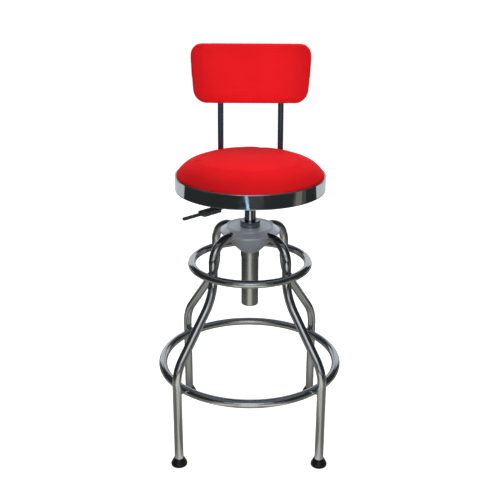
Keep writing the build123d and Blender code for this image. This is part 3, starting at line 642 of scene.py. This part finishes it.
def heads(name, places, facing, radius, rise):
    """A domed head on each place, all one way."""
    points, faces = cross_head(radius, rise)
    shapes = []
    for number, place in enumerate(places):
        turn = facing.to_track_quat("Z", "Y") @ Quaternion(UP, 0.7 * number + 0.3)
        shapes.append(([place + turn @ point for point in points], faces))
    piece = gather(name, shapes, plain_steel)
    piece.data.set_sharp_from_angle(angle=math.radians(32.0))
    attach(piece, "seat")


# Domed heads on the screws and bolts
plate_screw_half = 52.0 * MM
upright_half = 78.0 * MM
bolt_front = 85.0 * MM
bolt_rear = 135.0 * MM
back_screw_half = 40.0 * MM
back_cover_rear = 18.3 * MM
plate_screw_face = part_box("seat_plate_screws")[0][2]
bolt_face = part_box("upright_bolts")[0][2]
plate_screw_places = [Vector((x, y, plate_screw_face))
                      for x in (-plate_screw_half, plate_screw_half)
                      for y in (-plate_screw_half, plate_screw_half)]
bolt_places = [Vector((x, y, bolt_face))
               for x in (-upright_half, upright_half)
               for y in (bolt_front, bolt_rear)]
back_screw_places = [back_point(x, y, -back_cover_rear)
                     for x in (-upright_half, upright_half)
                     for y in (-back_screw_half, back_screw_half)]
heads("seat_plate_screw_heads", plate_screw_places, -UP, 5.0 * MM, 1.6 * MM)
heads("upright_bolt_heads", bolt_places, -UP, 5.5 * MM, 1.6 * MM)
heads("backrest_screw_heads", back_screw_places, -back_front, 4.5 * MM, 1.5 * MM)

# Weld beads where the rings meet the legs
leg_radius = 11.0 * MM
upper_leg_reach = 124.2 * MM
lower_leg_reach = 246.0 * MM
leg_angles = (225.0, 315.0, 45.0, 135.0)
weld_half_width = 8.0 * MM
weld_half_height = 7.0 * MM
weld_fill = 0.5 * MM
weld_ripples = 24
weld_lump = 0.14


def bead(name, path, sizes):
    """A closed lumpy tube of weld along a path."""
    count = len(path)
    sides = 10
    rings = []
    for i, centre in enumerate(path):
        along = (path[(i + 1) % count] - path[i - 1]).normalized()
        side = along.orthogonal().normalized()
        other = along.cross(side)
        lump = sizes[i] * (1 + weld_lump * math.sin(weld_ripples * 2 * math.pi * i / count))
        rings.append([centre + (side * math.cos(t) + other * math.sin(t)) * lump for t in turns(sides)])
    for i in range(1, count):
        shift = min(range(sides), key=lambda k: (rings[i][k] - rings[i - 1][0]).length)
        rings[i] = rings[i][shift:] + rings[i][:shift]
    close = min(range(sides), key=lambda k: (rings[0][k] - rings[-1][0]).length)
    points, faces = loft(rings, "open")
    last = (count - 1) * sides
    for k in range(sides):
        k2 = (k + 1) % sides
        faces.append((last + k, last + k2, (k2 + close) % sides, (k + close) % sides))
    return add_mesh(name, points, faces, weld_metal)


def ring_weld(name, angle, leg_reach, ring_reach, height, ring_radius):
    """The saddle of weld round the touching point of an upright leg tube and a level ring tube."""
    outward = spoke(math.radians(angle))
    along = Vector((-outward.y, outward.x, 0.0))
    to_ring = math.copysign(1.0, ring_reach - leg_reach)
    touch = outward * (leg_reach + to_ring * leg_radius) + UP * height
    path = []
    sizes = []
    for turn in turns(72):
        aside = weld_half_width * math.cos(turn)
        above = weld_half_height * math.sin(turn)
        leg_gap = leg_radius - math.sqrt(leg_radius**2 - aside**2)
        ring_gap = ring_radius - math.sqrt(ring_radius**2 - above**2)
        between = outward * to_ring * (ring_gap - leg_gap) / 2
        path.append(touch + along * aside + UP * above + between)
        sizes.append((leg_gap + ring_gap) / 2 + weld_fill)
    piece = bead(name, path, sizes)
    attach(piece, "base")


upper_low, upper_high = (Vector(corner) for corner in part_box("upper_ring"))
foot_low, foot_high = (Vector(corner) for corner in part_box("foot_ring"))
upper_tube = (upper_high.z - upper_low.z) / 2
foot_tube = (foot_high.z - foot_low.z) / 2
for number, angle in enumerate(leg_angles):
    ring_weld(f"upper_ring_weld_{number}", angle, upper_leg_reach, upper_high.x - upper_tube,
              (upper_low.z + upper_high.z) / 2, upper_tube)
    ring_weld(f"foot_ring_weld_{number}", angle, lower_leg_reach, foot_high.x - foot_tube,
              (foot_low.z + foot_high.z) / 2, foot_tube)

# Studio: white floor and surround, lamps, and cards that only polished metal sees


def emit(tree, colour, strength):
    """An emission node."""
    node = tree.nodes.new("ShaderNodeEmission")
    node.inputs["Color"].default_value = (*colour, 1.0)
    node.inputs["Strength"].default_value = strength
    return node


def seen_directly(tree):
    """1 for camera, mirror and see-through rays, else 0."""
    path = tree.nodes.new("ShaderNodeLightPath")
    first = tree.nodes.new("ShaderNodeMath")
    first.operation = "MAXIMUM"
    second = tree.nodes.new("ShaderNodeMath")
    second.operation = "MAXIMUM"
    tree.links.new(path.outputs["Is Camera Ray"], first.inputs[0])
    tree.links.new(path.outputs["Is Glossy Ray"], first.inputs[1])
    tree.links.new(first.outputs[0], second.inputs[0])
    tree.links.new(path.outputs["Is Transmission Ray"], second.inputs[1])
    return second.outputs[0]


world = bpy.data.worlds.new("studio")
scene.world = world
world.use_nodes = True
sky = world.node_tree
background = sky.nodes["Background"]
background.inputs["Color"].default_value = (1.0, 1.0, 1.0, 1.0)
level = sky.nodes.new("ShaderNodeMapRange")
level.inputs["To Min"].default_value = 0.24
level.inputs["To Max"].default_value = 1.0
sky.links.new(seen_directly(sky), level.inputs["Value"])
sky.links.new(level.outputs["Result"], background.inputs["Strength"])

floor_material = bpy.data.materials.new("floor")
floor_material.use_nodes = True
floor_tree = floor_material.node_tree
floor_tree.nodes.clear()
floor_output = floor_tree.nodes.new("ShaderNodeOutputMaterial")
floor_matte = floor_tree.nodes.new("ShaderNodeBsdfDiffuse")
floor_matte.inputs["Color"].default_value = (0.45, 0.45, 0.45, 1.0)
floor_white = emit(floor_tree, (1.0, 1.0, 1.0), 0.0)
floor_level = floor_tree.nodes.new("ShaderNodeMapRange")
floor_level.inputs["To Max"].default_value = 0.92
floor_tree.links.new(seen_directly(floor_tree), floor_level.inputs["Value"])
floor_tree.links.new(floor_level.outputs["Result"], floor_white.inputs["Strength"])
floor_sum = floor_tree.nodes.new("ShaderNodeAddShader")
floor_tree.links.new(floor_matte.outputs[0], floor_sum.inputs[0])
floor_tree.links.new(floor_white.outputs[0], floor_sum.inputs[1])
floor_tree.links.new(floor_sum.outputs[0], floor_output.inputs["Surface"])
floor = add_mesh("floor", [(-40, -40, 0), (40, -40, 0), (40, 40, 0), (-40, 40, 0)], [(0, 1, 2, 3)],
                 floor_material, smooth=False)


def card(name, points, faces, colour, strength=1.0):
    """A studio card that shows in polished metal only. Colour is one value, or pairs of (Y, value)."""
    material = bpy.data.materials.new(name)
    material.use_nodes = True
    tree = material.node_tree
    tree.nodes.clear()
    output = tree.nodes.new("ShaderNodeOutputMaterial")
    plain = isinstance(colour[0], float)
    glow = emit(tree, colour if plain else colour[0][1], strength)
    tree.links.new(glow.outputs[0], output.inputs["Surface"])
    if not plain:
        place = tree.nodes.new("ShaderNodeTexCoord")
        split = tree.nodes.new("ShaderNodeSeparateXYZ")
        run = tree.nodes.new("ShaderNodeMapRange")
        ramp = tree.nodes.new("ShaderNodeValToRGB")
        first, last = colour[0][0], colour[-1][0]
        run.inputs["From Min"].default_value = first
        run.inputs["From Max"].default_value = last
        stops = ramp.color_ramp.elements
        while len(stops) < len(colour):
            stops.new(0.5)
        for stop, (y, value) in zip(stops, colour):
            stop.position = (y - first) / (last - first)
            stop.color = (*value, 1.0)
        tree.links.new(place.outputs["Object"], split.inputs[0])
        tree.links.new(split.outputs["Y"], run.inputs["Value"])
        tree.links.new(run.outputs["Result"], ramp.inputs["Fac"])
        tree.links.new(ramp.outputs["Color"], glow.inputs["Color"])
    piece = add_mesh(name, points, faces, material, smooth=False)
    piece.visible_camera = False
    piece.visible_diffuse = False
    piece.visible_shadow = False
    piece.visible_transmission = False


def sheet(left, front, right, back, height, lean=0.0):
    """A level four-cornered sheet; lean shifts its front edge sideways."""
    points = [(left + lean, front, height), (right + lean, front, height),
              (right, back, height), (left, back, height)]
    return points, [(0, 1, 2, 3)]


def wedge(middle, front, front_half, back, back_half, height):
    """A level four-cornered sheet with its own half width at the front and at the back."""
    points = [(middle - front_half, front, height), (middle + front_half, front, height),
              (middle + back_half, back, height), (middle - back_half, back, height)]
    return points, [(0, 1, 2, 3)]


def upright(left, right, place, low, high):
    """A standing four-cornered sheet across the view."""
    points = [(left, place, low), (right, place, low), (right, place, high), (left, place, high)]
    return points, [(0, 1, 2, 3)]


def dome(radius):
    """The inside of a half sphere."""
    rows = 12
    rings = []
    for row in range(rows):
        rise = 0.5 * math.pi * row / rows
        reach = radius * math.cos(rise)
        height = radius * math.sin(rise)
        rings.append([spoke(t) * reach + UP * height for t in turns(48)])
    return loft(rings, "open")


dark = (0.026, 0.030, 0.030)
card("dark_dome", *dome(6.0), dark)
card("dark_floor", *sheet(-6.0, -6.0, 6.0, 6.0, 0.002), dark)
card("left_paper", *sheet(-1.7, -1.2, -0.7, 0.6, 0.003), (0.060, 0.063, 0.060))
card("right_paper", *sheet(0.7, -1.2, 1.6, 0.6, 0.003), (0.085, 0.088, 0.080))
card("front_paper_edge", *sheet(-0.80, -1.45, 0.74, -0.55, 0.004), (0.20, 0.195, 0.175))
card("front_paper", *sheet(-0.42, -1.45, 0.36, -0.55, 0.005), (0.74, 0.72, 0.64))
card("near_paper", *sheet(-0.80, -0.55, 0.80, 1.0, 0.005), (
    (-0.55, (0.19, 0.185, 0.165)),
    (-0.205, (0.17, 0.17, 0.15)),
    (-0.10, (0.22, 0.22, 0.20)),
    (-0.02, (0.38, 0.38, 0.355)),
    (0.05, (0.33, 0.33, 0.31)),
    (0.14, (0.17, 0.17, 0.155)),
    (1.00, (0.15, 0.15, 0.14)),
))
for middle, name in ((-0.16, "left"), (0.16, "right")):
    card(f"{name}_leg_edge", *wedge(middle, -0.55, 0.15, -0.16, 0.045, 0.006), (0.33, 0.325, 0.30))
    card(f"{name}_leg_paper", *wedge(middle, -0.55, 0.08, -0.16, 0.015, 0.007), (0.62, 0.615, 0.58))
card("ring_paper", *sheet(-0.06, -0.55, 0.06, -0.32, 0.006), (0.64, 0.64, 0.62))
card("rear_left_paper", *sheet(-2.8, 1.0, -1.45, 4.0, 0.004), (0.60, 0.615, 0.64))
card("rear_right_paper", *sheet(1.45, 1.0, 2.5, 4.0, 0.004), (0.60, 0.615, 0.64))
card("rear_paper", *sheet(-1.45, 1.75, 1.45, 4.0, 0.004), (0.60, 0.615, 0.64))
card("column_paper", *sheet(-0.55, -2.08, 0.45, -1.45, 0.005), (0.85, 0.92, 0.96))
card("band_strip", *sheet(-0.14, -3.0, 0.01, -2.20, 0.005, -0.50), (0.42, 0.71, 1.0), 1.3)
card("band_grey", *sheet(-0.05, -3.0, 0.80, -2.20, 0.004), (0.058, 0.060, 0.060))
card("warm_edge", *sheet(1.6, -1.0, 3.6, -0.05, 0.004), (0.085, 0.083, 0.075))
card("warm_patch", *sheet(1.7, -0.85, 3.4, -0.40, 0.005), (0.21, 0.205, 0.175))
card("front_low", *upright(-3.0, 3.0, -3.45, 0.0, 1.0), (0.22, 0.23, 0.235))
card("front_low_core", *upright(-0.6, 0.6, -3.40, 0.25, 1.4), (0.85, 0.87, 0.90))
card("front_sky_edge", *upright(-1.9, 1.8, -3.35, 0.9, 3.2), (0.30, 0.33, 0.37))
card("front_sky", *upright(-1.1, 1.0, -3.30, 1.2, 2.9), (0.62, 0.66, 0.72))
card("front_glint", *upright(-0.45, 0.38, -3.25, 1.3, 2.7), (0.95, 0.98, 1.02))
card("back_wall", *upright(-3.2, 3.2, 4.0, 0.0, 2.6), (0.62, 0.64, 0.67))
card("ceiling", *sheet(-3.4, -3.2, 3.4, 3.2, 4.0), (0.13, 0.145, 0.17))


def hang(data, place, aim, power):
    """Put a light in its place, facing its aim and unseen in reflections."""
    data.energy = power
    light = bpy.data.objects.new(data.name, data)
    light.location = place
    light.rotation_mode = "QUATERNION"
    light.rotation_quaternion = (Vector(aim) - Vector(place)).to_track_quat("-Z", "Y")
    light.visible_glossy = False
    scene.collection.objects.link(light)


def lamp(name, place, aim, size, power):
    """A soft rectangular lamp."""
    data = bpy.data.lights.new(name, "AREA")
    data.shape = "RECTANGLE"
    data.size, data.size_y = size
    hang(data, place, aim, power)


def spot(name, place, aim, spread, power, soft=0.15):
    """A spot lamp with a cone of spread degrees."""
    data = bpy.data.lights.new(name, "SPOT")
    data.shadow_soft_size = soft
    data.spot_size = math.radians(spread)
    data.spot_blend = 0.5
    hang(data, place, aim, power)


lamp("left_lamp", (-1.3, 1.5, 2.7), (0.0, 0.0, 0.7), (1.8, 1.8), 46.0)
lamp("right_lamp", (1.4, 1.5, 2.7), (0.0, 0.0, 0.7), (1.8, 1.8), 59.0)
lamp("front_lamp", (-0.4, -3.2, 2.1), (0.0, 0.0, 0.8), (1.6, 1.0), 2.0)
spot("backrest_lamp", (0.4, -2.5, 1.3), (0.0, 0.2, 0.93), 10.5, 230.0)
spot("hub_lamp", (0.2, -3.0, 1.70), (0.0, 0.0, 0.530), 3.8, 500.0)
spot("left_cap_lamp", (-0.13, 0.02, 0.66), (-0.02, 0.0, 0.57), 80.0, 0.66, 0.02)
spot("right_cap_lamp", (0.13, 0.02, 0.66), (0.02, 0.0, 0.57), 80.0, 0.60, 0.02)
